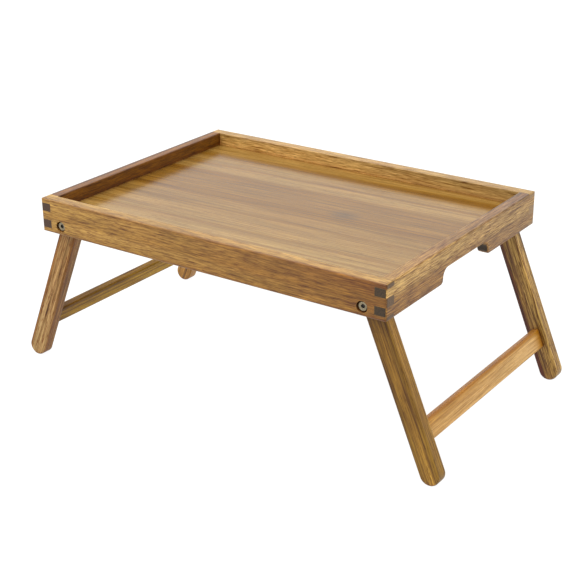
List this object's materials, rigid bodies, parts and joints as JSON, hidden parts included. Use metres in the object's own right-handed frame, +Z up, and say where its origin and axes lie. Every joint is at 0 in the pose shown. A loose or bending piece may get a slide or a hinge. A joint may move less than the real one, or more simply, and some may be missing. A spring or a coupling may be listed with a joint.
{
  "type": "folding tray table",
  "caption": "Rectangular wooden bed tray with a raised rim and handle cutouts, standing on two leg frames that fold flat under its floor.",
  "frame": {"origin": "on the ground, under the middle of the tray", "axes": "+X along the tray to its right end, -Y towards the front rail, +Z up"},
  "size_m": [0.622, 0.36, 0.2363],
  "materials": {
    "acacia": "oiled, satin",
    "acacia_pale": "oiled, satin",
    "acacia_floor": "lacquered, semi-gloss",
    "bolt_steel": "nickel plated",
    "washer_steel": "zinc plated"
  },
  "bodies": {
    "tray": {"rail_front": "acacia", "rail_back": "acacia", "rail_left": "acacia", "rail_right": "acacia", "tray_floor": "acacia_floor"},
    "left_legs": {"leg_front_left": "acacia", "leg_back_left": "acacia", "crossbar_left": "acacia_pale", "bolt_front_left": "bolt_steel", "bolt_back_left": "bolt_steel", "washer_front_left": "washer_steel", "washer_back_left": "washer_steel", "insert_front_left": "washer_steel", "insert_back_left": "washer_steel"},
    "right_legs": {"leg_front_right": "acacia", "leg_back_right": "acacia", "crossbar_right": "acacia_pale", "bolt_front_right": "bolt_steel", "bolt_back_right": "bolt_steel", "washer_front_right": "washer_steel", "washer_back_right": "washer_steel", "insert_front_right": "washer_steel", "insert_back_right": "washer_steel"}
  },
  "joints": [
    {"name": "left_legs_fold", "type": "hinge", "parent": "tray", "child": "left_legs", "pos_m": [-0.2195, 0, 0.20328], "axis": [0, -1, 0], "range_deg": [0, 112.5]},
    {"name": "right_legs_fold", "type": "hinge", "parent": "tray", "child": "right_legs", "pos_m": [0.2195, 0, 0.20328], "axis": [0, 1, 0], "range_deg": [0, 112.5]}
  ]
}
